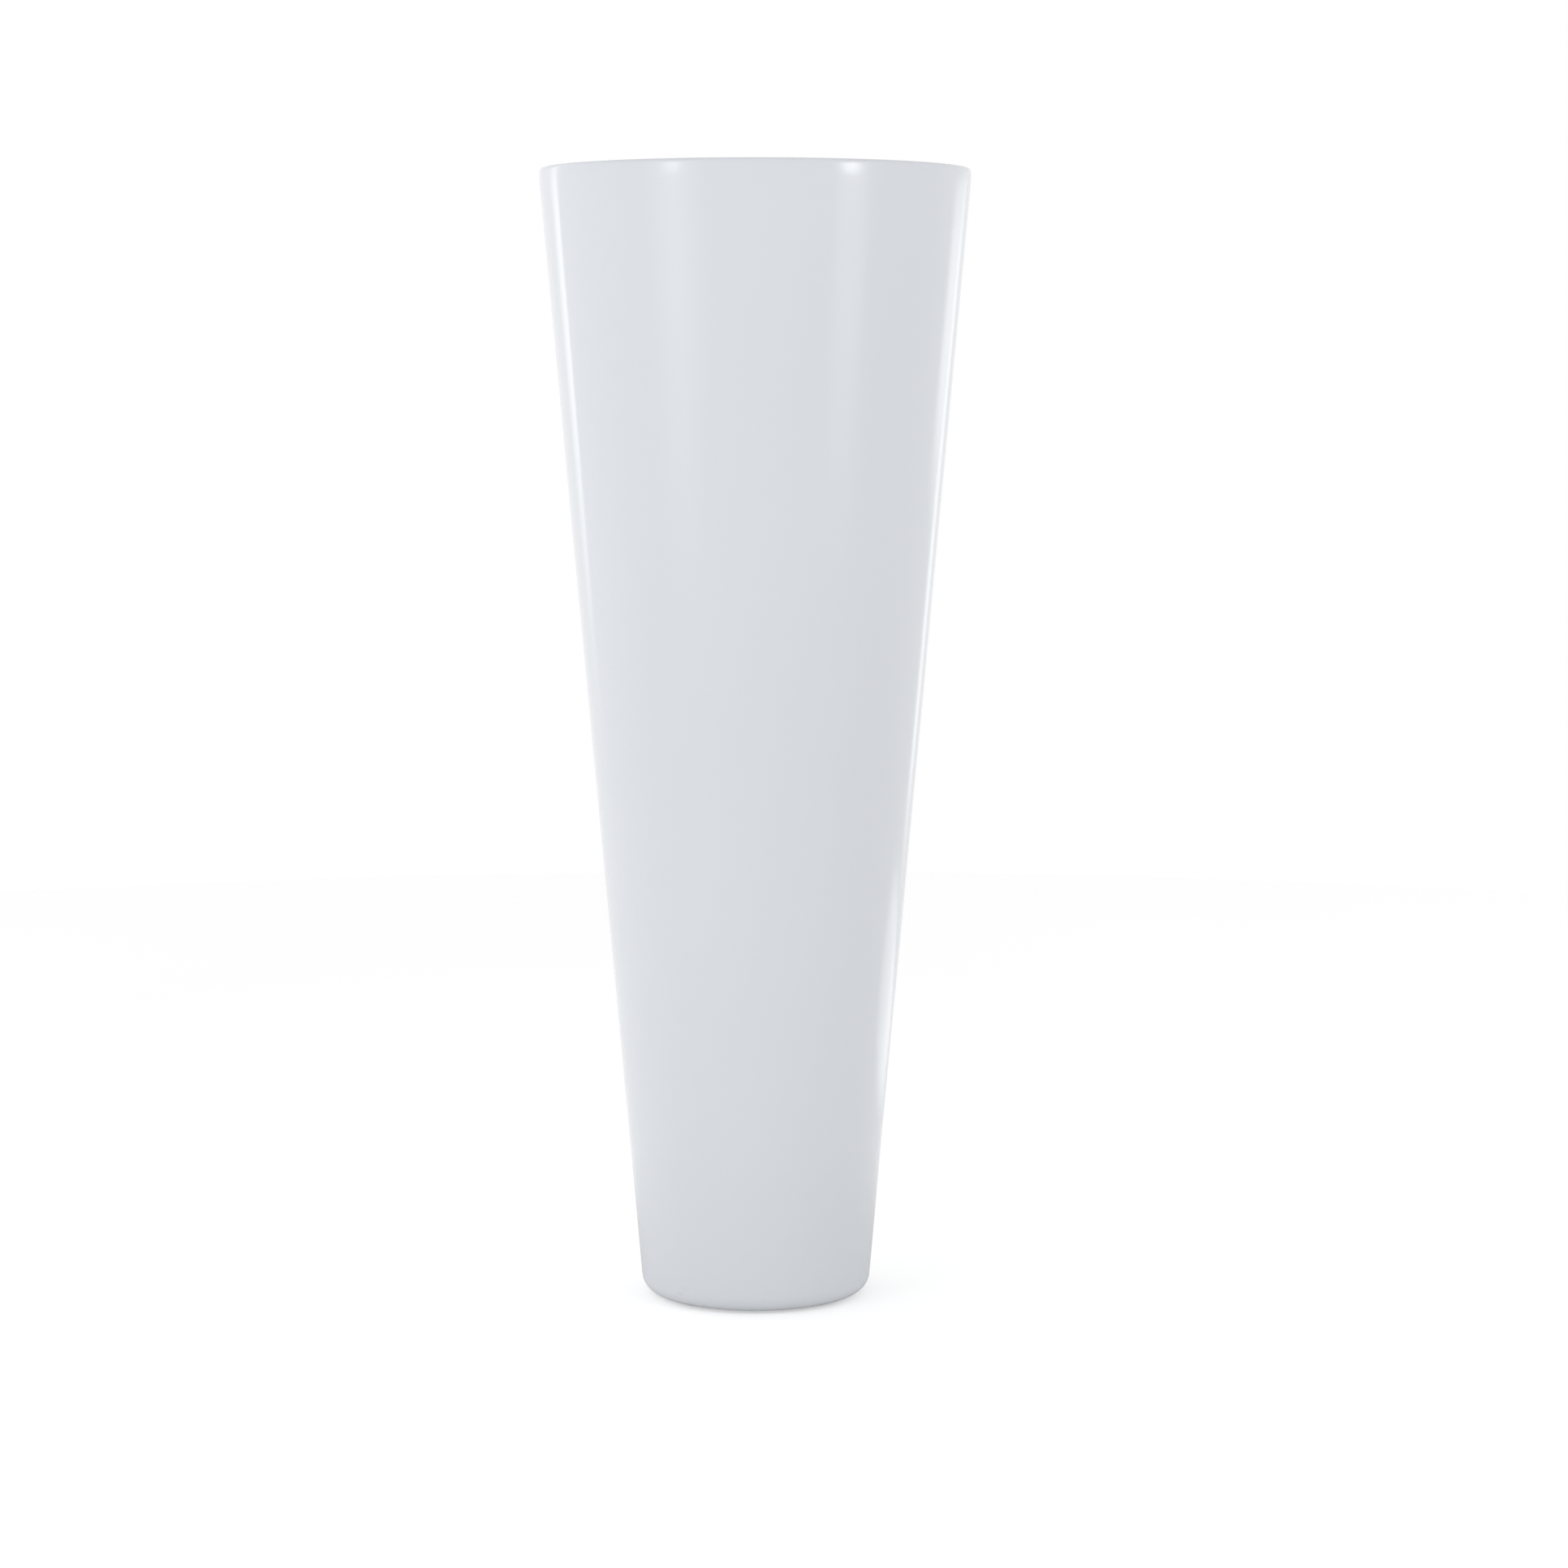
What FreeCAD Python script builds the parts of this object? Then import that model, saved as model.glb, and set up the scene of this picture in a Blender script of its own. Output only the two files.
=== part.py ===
"""Tall conical fibreglass floor vase with a lift-out planting liner.

Millimetres, +Z up. The origin is on the floor, on the vase's own axis.
The vase is a one-piece laminated shell with a turned-in rim and a rounded, turned-in foot.
A base plate with a drain hole is bonded on the foot's ring, with ballast cast over it, and a
bung closes the drain. A ledge ring is bonded inside the mouth, and a plastic liner with two
folding wire handles hangs on that ledge. Four rubber pads keep the foot off the floor.
"""

import FreeCAD, Part

import math
import os
import re

import Sketcher

# Driving sizes in millimetres, grouped by the piece that carries them
SIZES = {
    "vase": {
        "overall_height": 1000,
        "rim_diameter": 380,
        "foot_diameter": 202,
        "bond_gap": 0.3,
        "cut_overrun": 10,
    },
    "shell": {
        "wall_thickness": 5,
        "foot_edge_radius": 16,
        "foot_ring_width": 20,
        "foot_ring_thickness": 5,
        "foot_ring_draft": 2,
        "foot_ring_edge_radius": 1.5,
        "rim_edge_radius": 5,
        "lip_width": 14,
        "lip_thickness": 6,
        "lip_edge_radius": 2.4,
        "lip_root_radius": 3,
    },
    "base plate": {
        "plate_thickness": 8,
        "plate_overlap": 14,
        "plate_edge_chamfer": 1,
        "drain_diameter": 25,
    },
    "foot pads": {
        "pad_diameter": 16,
        "pad_thickness": 2,
    },
    "drain plug": {
        "plug_clearance": 0.3,
        "plug_flange_overhang": 6.5,
        "plug_flange_thickness": 3,
        "plug_edge_radius": 1,
        "plug_nose_length": 6,
        "plug_nose_taper": 1,
        "plug_wall": 6,
        "plug_hollow_depth": 8,
    },
    "ballast ring": {
        "ballast_height": 80,
        "ballast_well_margin": 18,
        "ballast_well_chamfer": 3,
    },
    "liner ledge": {
        "ledge_drop": 46,
        "ledge_bearing": 10,
        "ledge_thickness": 4,
        "ledge_skirt_height": 26,
        "ledge_root_radius": 3,
    },
    "liner": {
        "liner_lip_clearance": 2,
        "liner_ledge_clearance": 3,
        "liner_flange_thickness": 4,
        "liner_wall": 3,
        "liner_depth": 300,
        "liner_draw_in": 35,
        "liner_collar_height": 62,
        "liner_collar_draft": 1,
        "liner_collar_step": 4,
        "liner_base_thickness": 4,
        "liner_base_radius": 8,
        "liner_edge_radius": 1.2,
        "liner_drain_diameter": 8,
        "liner_drain_inset": 46,
    },
    "handle lugs": {
        "lug_thickness": 4.6,
        "lug_height": 9.5,
        "lug_end_wall": 4,
        "lug_corner_radius": 2,
        "lug_play": 0.4,
        "hinge_clearance": 0.25,
    },
    "handles": {
        "handle_wire_diameter": 5,
        "handle_mouth_offset": 2,
        "handle_bend_radius": 8,
        "handle_rest_gap": 0.8,
        "hinge_offset": 22,
    },
}
ALIAS_WORDS = re.compile(r"\b(" + "|".join(alias for sizes in SIZES.values() for alias in sizes) + r")\b")
PAD_COUNT = 4
LINER_DRAIN_COUNT = 8
ROUND_SHARE = 0.45
MATCH_TOLERANCE = 1e-4

# Heights above the floor
FOOT_PLANE = "pad_thickness"
RING_TOP = f"({FOOT_PLANE} + foot_ring_thickness)"
PLATE_TOP = f"({RING_TOP} + plate_thickness)"
RIM_PLANE = "overall_height"
LIP_UNDERSIDE = f"({RIM_PLANE} - lip_thickness)"
LEDGE_TOP = f"({RIM_PLANE} - ledge_drop)"
FLANGE_TOP = f"({LEDGE_TOP} + liner_flange_thickness)"
COLLAR_FOOT = f"({LEDGE_TOP} - liner_collar_height)"
LINER_BOTTOM = f"({LEDGE_TOP} - liner_depth)"
HINGE_HEIGHT = f"({FLANGE_TOP} + handle_rest_gap + handle_wire_diameter / 2)"

# The wall's lean, and radii from the rim inwards: each piece clears the one that it passes through
WALL_LEAN = f"((rim_diameter - foot_diameter) / 2 / ({RIM_PLANE} - {FOOT_PLANE}))"
WALL_SECANT = f"sqrt(1 + {WALL_LEAN} ^ 2)"
LIP_RADIUS = "(rim_diameter / 2 - lip_width)"
FLANGE_RADIUS = f"({LIP_RADIUS} - liner_lip_clearance)"
LEDGE_RADIUS = f"({FLANGE_RADIUS} - ledge_bearing)"
LINER_RADIUS = f"({LEDGE_RADIUS} - liner_ledge_clearance)"
MOUTH_RADIUS = f"({LINER_RADIUS} - liner_wall)"
LINER_BASE_RADIUS = f"({LINER_RADIUS} - liner_draw_in)"

# The foot's flat standing ring, inside the rounded edge, and what lies on it and under it
STANDING_RADIUS = f"(foot_diameter / 2 + ({WALL_LEAN} - {WALL_SECANT}) * foot_edge_radius)"
RING_RADIUS = f"({STANDING_RADIUS} - foot_ring_width)"
PAD_CIRCLE_RADIUS = f"({STANDING_RADIUS} - foot_ring_width / 2)"
PLATE_RADIUS = f"({RING_RADIUS} + plate_overlap)"
DRAIN_RADIUS = "(drain_diameter / 2)"
FOOT_INNER_RADIUS = "(foot_edge_radius - wall_thickness)"

# The handle's wire runs round the mouth, bends outwards and ends in the lugs on its hinge line
HANDLE_RADIUS = f"({MOUTH_RADIUS} + handle_mouth_offset)"
BEND_CENTRE_X = "(hinge_offset + handle_bend_radius)"
BEND_CENTRE_Y = f"sqrt(({HANDLE_RADIUS} + handle_bend_radius) ^ 2 - {BEND_CENTRE_X} ^ 2)"
HINGE_HOLE_DIAMETER = "(handle_wire_diameter + 2 * hinge_clearance)"
LUG_INNER_Y = f"({BEND_CENTRE_Y} + lug_play)"
LUG_OUTER_Y = f"({LUG_INNER_Y} + lug_thickness)"
LUG_HALF_WIDTH = f"(hinge_offset + {HINGE_HOLE_DIAMETER} / 2 + lug_end_wall)"
LUG_TOP = f"({FLANGE_TOP} + lug_height)"

doc = FreeCAD.newDocument("fibreglass_vase")
sheet = doc.addObject("Spreadsheet::Sheet", "sizes")


def fill_sheet():
    """One row for each size: its piece, its name in words, and its value, which carries the alias."""
    rows = [(piece, alias, size) for piece, sizes in SIZES.items() for alias, size in sizes.items()]
    for row, (piece, alias, size) in enumerate(rows, 1):
        sheet.set(f"A{row}", piece)
        sheet.set(f"B{row}", alias.replace("_", " "))
        sheet.set(f"C{row}", str(size))
        sheet.setAlias(f"C{row}", alias)
    doc.recompute()


def in_sheet(expression):
    """The expression with each size's name led by the sheet's, as the document reads it."""
    return ALIAS_WORDS.sub(r"sizes.\1", expression)


def bind(feature, prop, expression):
    feature.setExpression(prop, in_sheet(expression))


def value(expression):
    """What an expression comes to with the sheet's present sizes."""
    return float(sheet.evalExpression(in_sheet(expression)))


def outside_radius(height):
    """Radius of the shell's outer face at a height above the floor."""
    return f"(foot_diameter / 2 + {WALL_LEAN} * ({height} - {FOOT_PLANE}))"


def inside_radius(height, gap="0"):
    """Radius at a height that lies a gap inside the shell's inner face, measured square to the wall."""
    return f"({outside_radius(height)} - (wall_thickness + {gap}) * {WALL_SECANT})"


def rounding(radius, wall):
    """A fillet's radius, limited by the wall whose two edges are rounded."""
    return f"min({radius}; {wall} * {ROUND_SHARE})"


def origin_plane(body, role):
    return next(feature for feature in body.Origin.OriginFeatures if feature.Role == role)


def new_sketch(body, name, plane, height=None):
    """An empty sketch on one of the body's origin planes, or at a height above it."""
    sketch = body.newObject("Sketcher::SketchObject", name)
    sketch.AttachmentSupport = [(origin_plane(body, plane), "")]
    sketch.MapMode = "FlatFace"
    if height:
        bind(sketch, "AttachmentOffset.Base.z", height)
    return sketch


def constrain(sketch, kind, *places):
    return sketch.addConstraint(Sketcher.Constraint(kind, *places))


def drive(sketch, expression, kind, *places):
    """A dimension of the sketch that follows an expression."""
    index = constrain(sketch, kind, *places, value(expression))
    bind(sketch, f"Constraints[{index}]", expression)


def place_point(sketch, line, point, x, y):
    """Holds a point of a line, arc or circle at two expressions measured from the sketch's origin."""
    for expression, kind, axis in ((x, "DistanceX", -2), (y, "DistanceY", -1)):
        if expression == "0":
            constrain(sketch, "PointOnObject", line, point, axis)
        else:
            drive(sketch, expression, kind, -1, 1, line, point)


def draw_outline(sketch, corners):
    """A closed outline of straight lines through corners given as pairs of expressions."""
    points = [FreeCAD.Vector(value(x), value(y), 0) for x, y in corners]
    last = len(points) - 1
    for start, end in zip(points, points[1:] + points[:1]):
        sketch.addGeometry(Part.LineSegment(start, end), False)
    for line, (x, y) in enumerate(corners):
        constrain(sketch, "Coincident", line - 1 if line else last, 2, line, 1)
        place_point(sketch, line, 1, x, y)


def draw_circle(sketch, diameter, x, y):
    centre = FreeCAD.Vector(value(x), value(y), 0)
    circle = Part.Circle(centre, FreeCAD.Vector(0, 0, 1), value(diameter) / 2)
    line = sketch.addGeometry(circle, False)
    drive(sketch, diameter, "Diameter", line)
    place_point(sketch, line, 3, x, y)


def turned_body(label, corners):
    """A body turned about the vase's axis from the (radius, height) corners of its half section."""
    body = doc.addObject("PartDesign::Body", label)
    section = new_sketch(body, f"{label}_section", "XZ_Plane")
    draw_outline(section, corners)
    turn = body.newObject("PartDesign::Revolution", f"{label}_turn")
    turn.Profile = section
    turn.ReferenceAxis = (section, ["V_Axis"])
    turn.Angle = 360
    doc.recompute()
    return body


def edges_where(feature, test):
    """Names of the feature's edges that pass a test."""
    return [f"Edge{number}" for number, edge in enumerate(feature.Shape.Edges, 1) if test(edge)]


def ring_edges(feature, places):
    """Names of the edges that run round the vase's axis at (radius, height) places, one for each."""
    wanted = [(value(radius), value(height)) for radius, height in places]

    def is_wanted(edge):
        if not isinstance(edge.Curve, Part.Circle):
            return False
        ring = (edge.Curve.Radius, edge.Curve.Center.z)
        return any(math.dist(ring, place) < MATCH_TOLERANCE for place in wanted)

    found = edges_where(feature, is_wanted)
    if len(found) != len(wanted):
        raise ValueError(f"{feature.Label}: {len(found)} edges found for {len(wanted)} places")
    return found


def dress_edges(body, kind, name, prop, size, edges):
    """A fillet or chamfer on edges of the body's last feature."""
    base = body.Tip
    dress = body.newObject(f"PartDesign::{kind}", name)
    dress.Base = (base, edges)
    bind(dress, prop, size)
    doc.recompute()
    return dress


def round_rings(body, name, radius, *places):
    """A fillet on edges that run round the vase's axis."""
    return dress_edges(body, "Fillet", name, "Radius", radius, ring_edges(body.Tip, places))


def extrude(body, kind, name, sketch, length, **settings):
    """A pad or pocket from a sketch, which must add or take away material."""
    before = body.Shape.Volume
    feature = body.newObject(f"PartDesign::{kind}", name)
    feature.Profile = sketch
    for prop, setting in settings.items():
        setattr(feature, prop, setting)
    bind(feature, "Length", length)
    doc.recompute()
    if (body.Shape.Volume > before) != (kind == "Pad"):
        raise ValueError(f"{name} points the wrong way")
    return feature


def repeat(body, kind, name, originals, **settings):
    """A mirror image or a ring of features, made the body's tip."""
    pattern = body.newObject(f"PartDesign::{kind}", name)
    pattern.Originals = originals
    for prop, setting in settings.items():
        setattr(pattern, prop, setting)
    body.Tip = pattern
    doc.recompute()


def mirror_fore_and_aft(body, name, originals):
    repeat(body, "Mirrored", name, originals, MirrorPlane=(origin_plane(body, "XZ_Plane"), [""]))


def make_shell():
    """Laminated wall in one moulding with the rim's lip and the foot's ring, both turned inwards."""
    foot, rim = "foot_diameter / 2", "rim_diameter / 2"
    lip_root = (inside_radius(LIP_UNDERSIDE), LIP_UNDERSIDE)
    ring_root = (inside_radius(RING_TOP), RING_TOP)
    lip_corners = [(LIP_RADIUS, RIM_PLANE), (LIP_RADIUS, LIP_UNDERSIDE)]
    ring_corners = [(f"({RING_RADIUS} - foot_ring_draft)", RING_TOP), (RING_RADIUS, FOOT_PLANE)]
    body = turned_body(
        "shell",
        [
            *ring_corners,
            (foot, FOOT_PLANE),
            (rim, RIM_PLANE),
            *lip_corners,
            lip_root,
            ring_root,
        ],
    )
    round_rings(body, "foot_round", "foot_edge_radius", (foot, FOOT_PLANE))
    round_rings(body, "foot_root_round", FOOT_INNER_RADIUS, ring_root)
    round_rings(body, "rim_round", rounding("rim_edge_radius", "lip_width"), (rim, RIM_PLANE))
    round_rings(body, "lip_round", rounding("lip_edge_radius", "lip_thickness"), *lip_corners)
    round_rings(body, "lip_root_round", "lip_root_radius", lip_root)
    ring_edge_radius = rounding("foot_ring_edge_radius", "foot_ring_thickness")
    round_rings(body, "ring_round", ring_edge_radius, ring_corners[1])
    return body


def make_base_plate():
    """Laminate disc bonded on the foot's ring, with the drain hole in its middle."""
    body = turned_body(
        "base_plate",
        [
            (DRAIN_RADIUS, RING_TOP),
            (PLATE_RADIUS, RING_TOP),
            (PLATE_RADIUS, PLATE_TOP),
            (DRAIN_RADIUS, PLATE_TOP),
        ],
    )
    top_edges = ring_edges(body.Tip, [(PLATE_RADIUS, PLATE_TOP), (DRAIN_RADIUS, PLATE_TOP)])
    dress_edges(body, "Chamfer", "plate_edges", "Size", "plate_edge_chamfer", top_edges)
    return body


def make_foot_pads():
    """Round rubber pads stuck to the foot's standing ring, evenly spaced."""
    pads = []
    for i in range(PAD_COUNT):
        turn = 360 * (i + 0.5) / PAD_COUNT
        pad = doc.addObject("Part::Cylinder", f"foot_pad_{i + 1}")
        bind(pad, "Radius", "pad_diameter / 2")
        bind(pad, "Height", "pad_thickness")
        bind(pad, "Placement.Base.x", f"{PAD_CIRCLE_RADIUS} * cos({turn})")
        bind(pad, "Placement.Base.y", f"{PAD_CIRCLE_RADIUS} * sin({turn})")
        pads.append(pad)
    group = doc.addObject("Part::Compound", "foot_pads")
    group.Links = pads
    doc.recompute()
    return group


def make_drain_plug():
    """Rubber bung pushed up into the drain hole from below, hollow underneath to grip it by."""
    flange = f"({DRAIN_RADIUS} + plug_flange_overhang)"
    shank = f"({DRAIN_RADIUS} - plug_clearance)"
    nose = f"({shank} - plug_nose_taper)"
    hollow = f"({shank} - plug_wall)"
    flange_underside = f"({RING_TOP} - plug_flange_thickness)"
    hollow_top = f"({flange_underside} + plug_hollow_depth)"
    nose_top = f"({PLATE_TOP} + plug_nose_length)"
    body = turned_body(
        "drain_plug",
        [
            (hollow, flange_underside),
            (flange, flange_underside),
            (flange, RING_TOP),
            (shank, RING_TOP),
            (shank, PLATE_TOP),
            (nose, nose_top),
            ("0", nose_top),
            ("0", hollow_top),
            (hollow, hollow_top),
        ],
    )
    edge_radius = rounding("plug_edge_radius", "plug_flange_thickness")
    round_rings(body, "plug_round", edge_radius, (flange, flange_underside), (nose, nose_top))
    return body


def make_ballast_ring():
    """Ring cast over the base plate to weigh the narrow foot, with a well above the drain."""
    well = f"({DRAIN_RADIUS} + ballast_well_margin)"
    top = f"({PLATE_TOP} + ballast_height)"
    plate_edge = f"({PLATE_RADIUS} + bond_gap)"
    foot_corner = (inside_radius(RING_TOP, "bond_gap"), RING_TOP)
    body = turned_body(
        "ballast_ring",
        [
            (well, PLATE_TOP),
            (plate_edge, PLATE_TOP),
            (plate_edge, RING_TOP),
            foot_corner,
            (inside_radius(top, "bond_gap"), top),
            (well, top),
        ],
    )
    round_rings(body, "ballast_foot_round", f"{FOOT_INNER_RADIUS} + bond_gap", foot_corner)
    well_edge = ring_edges(body.Tip, [(well, top)])
    dress_edges(body, "Chamfer", "ballast_well_edge", "Size", "ballast_well_chamfer", well_edge)
    return body


def make_liner_ledge():
    """Angle-section ring bonded to the wall below the lip, which carries the liner's flange."""
    underside = f"({LEDGE_TOP} - ledge_thickness)"
    skirt_foot = f"({LEDGE_TOP} - ledge_skirt_height)"
    skirt_inside = "(bond_gap + ledge_thickness)"
    root = (inside_radius(underside, skirt_inside), underside)
    body = turned_body(
        "liner_ledge",
        [
            (LEDGE_RADIUS, underside),
            root,
            (inside_radius(skirt_foot, skirt_inside), skirt_foot),
            (inside_radius(skirt_foot, "bond_gap"), skirt_foot),
            (inside_radius(LEDGE_TOP, "bond_gap"), LEDGE_TOP),
            (LEDGE_RADIUS, LEDGE_TOP),
        ],
    )
    round_rings(body, "ledge_root_round", "ledge_root_radius", root)
    return body


def make_liner():
    """Plastic planting pot with a stepped collar, a flange to hang by, floor drains and hinge lugs."""
    liner_floor = f"({LINER_BOTTOM} + liner_base_thickness)"
    shelf = f"({COLLAR_FOOT} + liner_wall)"
    collar_drop_in = "(liner_collar_draft + liner_collar_step)"
    base_corner = (LINER_BASE_RADIUS, LINER_BOTTOM)
    floor_corner = (f"({LINER_BASE_RADIUS} - liner_wall)", liner_floor)
    collar_edge = (f"({LINER_RADIUS} - liner_collar_draft)", COLLAR_FOOT)
    shelf_edge = (f"({MOUTH_RADIUS} - {collar_drop_in})", shelf)
    flange_edge = (FLANGE_RADIUS, FLANGE_TOP)
    mouth_edge = (MOUTH_RADIUS, FLANGE_TOP)
    body = turned_body(
        "liner",
        [
            ("0", LINER_BOTTOM),
            base_corner,
            (f"({LINER_RADIUS} - {collar_drop_in})", COLLAR_FOOT),
            collar_edge,
            (LINER_RADIUS, LEDGE_TOP),
            (FLANGE_RADIUS, LEDGE_TOP),
            flange_edge,
            mouth_edge,
            (f"({MOUTH_RADIUS} - liner_collar_draft)", shelf),
            shelf_edge,
            floor_corner,
            ("0", liner_floor),
        ],
    )
    rim_radius = rounding("liner_edge_radius", "liner_flange_thickness")
    collar_radius = rounding("liner_edge_radius", "liner_wall")
    round_rings(body, "liner_base_round", "liner_base_radius", base_corner)
    round_rings(body, "liner_floor_round", "liner_base_radius - liner_wall", floor_corner)
    round_rings(body, "liner_rim_round", rim_radius, flange_edge, mouth_edge)
    round_rings(body, "liner_collar_round", collar_radius, collar_edge, shelf_edge)
    cut_liner_drains(body)
    add_lugs(body)
    return body


def cut_liner_drains(body):
    """A ring of drain holes through the liner's floor."""
    sketch = new_sketch(body, "drain_sketch", "XY_Plane", f"{LINER_BOTTOM} - cut_overrun")
    draw_circle(sketch, "liner_drain_diameter", f"{LINER_BASE_RADIUS} - liner_drain_inset", "0")
    depth = "liner_base_thickness + 2 * cut_overrun"
    drain = extrude(body, "Pocket", "drain", sketch, depth, Reversed=True)
    axis = (origin_plane(body, "Z_Axis"), [""])
    repeat(body, "PolarPattern", "drains", [drain], Axis=axis, Angle=360, Occurrences=LINER_DRAIN_COUNT)


def add_lugs(body):
    """Two lugs moulded on the flange, fore and aft, each with a hole for the end of either handle."""
    sketch = new_sketch(body, "lug_sketch", "XY_Plane", FLANGE_TOP)
    left, right = f"-{LUG_HALF_WIDTH}", LUG_HALF_WIDTH
    corners = [(left, LUG_INNER_Y), (right, LUG_INNER_Y), (right, LUG_OUTER_Y), (left, LUG_OUTER_Y)]
    draw_outline(sketch, corners)
    lug = extrude(body, "Pad", "lug", sketch, "lug_height")
    end_place = (value(LUG_HALF_WIDTH), value(LUG_TOP))

    def is_end_edge(edge):
        ends = edge.Vertexes
        on_end = all(math.dist((abs(end.X), end.Z), end_place) < MATCH_TOLERANCE for end in ends)
        return on_end and ends[0].X * ends[-1].X > 0

    end_edges = edges_where(lug, is_end_edge)
    lug_round = dress_edges(body, "Fillet", "lug_round", "Radius", "lug_corner_radius", end_edges)
    mirror_fore_and_aft(body, "lugs", [lug, lug_round])

    holes = new_sketch(body, "hinge_hole_sketch", "XZ_Plane")
    for side in ("hinge_offset", "-hinge_offset"):
        draw_circle(holes, HINGE_HOLE_DIAMETER, side, HINGE_HEIGHT)
    span = f"2 * ({LUG_OUTER_Y} + cut_overrun)"
    extrude(body, "Pocket", "hinge_holes", holes, span, Midplane=True)


def make_handle(label, turn):
    """Round wire bail that lies on the liner's flange and swings up about its ends in the two lugs."""
    body = doc.addObject("PartDesign::Body", label)
    path = new_sketch(body, f"{label}_path", "XY_Plane")
    draw_half_path(path)
    section = new_sketch(body, f"{label}_wire", "XZ_Plane")
    draw_circle(section, "handle_wire_diameter", HANDLE_RADIUS, "0")
    doc.recompute()
    half = body.newObject("PartDesign::AdditivePipe", f"{label}_half")
    half.Profile = section
    half.Spine = (path, edges_where(path, lambda edge: True))
    doc.recompute()
    mirror_fore_and_aft(body, f"{label}_whole", [half])
    body.Placement.Rotation = FreeCAD.Rotation(FreeCAD.Vector(0, 0, 1), turn)
    bind(body, "Placement.Base.z", HINGE_HEIGHT)
    doc.recompute()
    return body


def draw_half_path(sketch):
    """Half the wire's line: its run round the mouth, the bend outwards and the straight end in the lug."""
    z_axis = FreeCAD.Vector(0, 0, 1)
    bend_centre = FreeCAD.Vector(value(BEND_CENTRE_X), value(BEND_CENTRE_Y), 0)
    turn = math.atan2(bend_centre.y, bend_centre.x)
    mouth_circle = Part.Circle(FreeCAD.Vector(0, 0, 0), z_axis, value(HANDLE_RADIUS))
    bend_circle = Part.Circle(bend_centre, z_axis, value("handle_bend_radius"))
    end_points = [FreeCAD.Vector(value("hinge_offset"), value(y), 0) for y in (BEND_CENTRE_Y, LUG_OUTER_Y)]
    run = sketch.addGeometry(Part.ArcOfCircle(mouth_circle, 0, turn), False)
    bend = sketch.addGeometry(Part.ArcOfCircle(bend_circle, math.pi, math.pi + turn), False)
    end = sketch.addGeometry(Part.LineSegment(*end_points), False)
    constrain(sketch, "Coincident", run, 3, -1, 1)
    constrain(sketch, "PointOnObject", run, 1, -1)
    constrain(sketch, "Tangent", run, 2, bend, 2)
    constrain(sketch, "Tangent", bend, 1, end, 1)
    constrain(sketch, "Vertical", end)
    drive(sketch, HANDLE_RADIUS, "Radius", run)
    drive(sketch, "handle_bend_radius", "Radius", bend)
    place_point(sketch, end, 2, "hinge_offset", LUG_OUTER_Y)


def check_document(pieces):
    """Stops on an object that failed, and on a piece that isn't a valid solid."""
    for feature in doc.Objects:
        if {"Invalid", "Error"} & set(feature.State):
            raise ValueError(f"{feature.Label} failed: {feature.State}")
    for piece in pieces:
        shape = piece.Shape
        if shape.isNull() or not shape.isValid() or not shape.Solids:
            raise ValueError(f"{piece.Label} has no valid solid")
        print(f"{piece.Label}: solids {len(shape.Solids)}, volume {shape.Volume:.0f} mm3")


fill_sheet()
vase_pieces = [
    make_shell(),
    make_base_plate(),
    make_foot_pads(),
    make_drain_plug(),
    make_ballast_ring(),
    make_liner_ledge(),
    make_liner(),
    make_handle("right_handle", 0),
    make_handle("left_handle", 180),
]
doc.recompute()
check_document(vase_pieces)
os.makedirs("parts", exist_ok=True)
for piece in vase_pieces:
    piece.Shape.exportStep(os.path.join("parts", f"{piece.Label}.step"))
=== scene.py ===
"""Looks of a tall conical fibreglass floor vase with a lift-out planting liner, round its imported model.

Metres, +Z up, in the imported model's own frame: the floor is at z = 0 and the vase's axis is the Z axis.
"""

import math

import bpy
import numpy as np
from mathutils import Matrix, Vector, noise


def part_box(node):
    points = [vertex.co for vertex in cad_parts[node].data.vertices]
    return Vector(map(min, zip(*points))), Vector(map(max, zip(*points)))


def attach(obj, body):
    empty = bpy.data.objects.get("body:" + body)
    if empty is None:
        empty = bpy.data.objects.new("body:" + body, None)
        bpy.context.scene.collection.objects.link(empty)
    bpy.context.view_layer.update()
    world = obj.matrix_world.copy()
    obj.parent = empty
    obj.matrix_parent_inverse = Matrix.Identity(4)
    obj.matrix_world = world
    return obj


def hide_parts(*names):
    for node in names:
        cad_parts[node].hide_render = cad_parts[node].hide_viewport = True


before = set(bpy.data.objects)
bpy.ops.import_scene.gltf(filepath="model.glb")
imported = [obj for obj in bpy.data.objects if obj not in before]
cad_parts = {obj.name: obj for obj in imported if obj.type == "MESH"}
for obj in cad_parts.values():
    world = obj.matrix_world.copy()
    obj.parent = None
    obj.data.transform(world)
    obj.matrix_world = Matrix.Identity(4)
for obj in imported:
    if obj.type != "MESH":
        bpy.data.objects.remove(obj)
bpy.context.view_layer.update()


# Shell: one hand-laid fibreglass moulding. White gelcoat is sprayed into a polished mould first, and mat
# and resin follow, so the outside is glossy and faintly wavy and the inside is left as bare laminate.
# The wall is a straight cone, curled in a little at the top, whose rim and foot are both turned inwards.
FOOT_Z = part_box("shell")[0].z
RIM_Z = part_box("shell")[1].z
FOOT_RADIUS = 0.101
RIM_RADIUS = 0.190
WALL = 0.005
FOOT_ROUND = 0.016
RING_WIDTH = 0.020
RING_THICKNESS = 0.005
RING_DRAFT = 0.002
RING_ROUND = 0.0015
RING_TOP_ROUND = 0.0008
RIM_ROUND = 0.003
LIP_WIDTH = 0.014
LIP_THICKNESS = 0.006
LIP_ROUND = 0.0024
LIP_ROOT = 0.003
CURL = 0.0011
CURL_HEIGHT = 0.016
CURL_END = 0.75
CURL_ROWS = 10
WAVES = 12
WAVE_LOBES = (2, 8)
WAVE_HEIGHT = 0.00012
WAVE_LENGTH = 0.25
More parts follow.
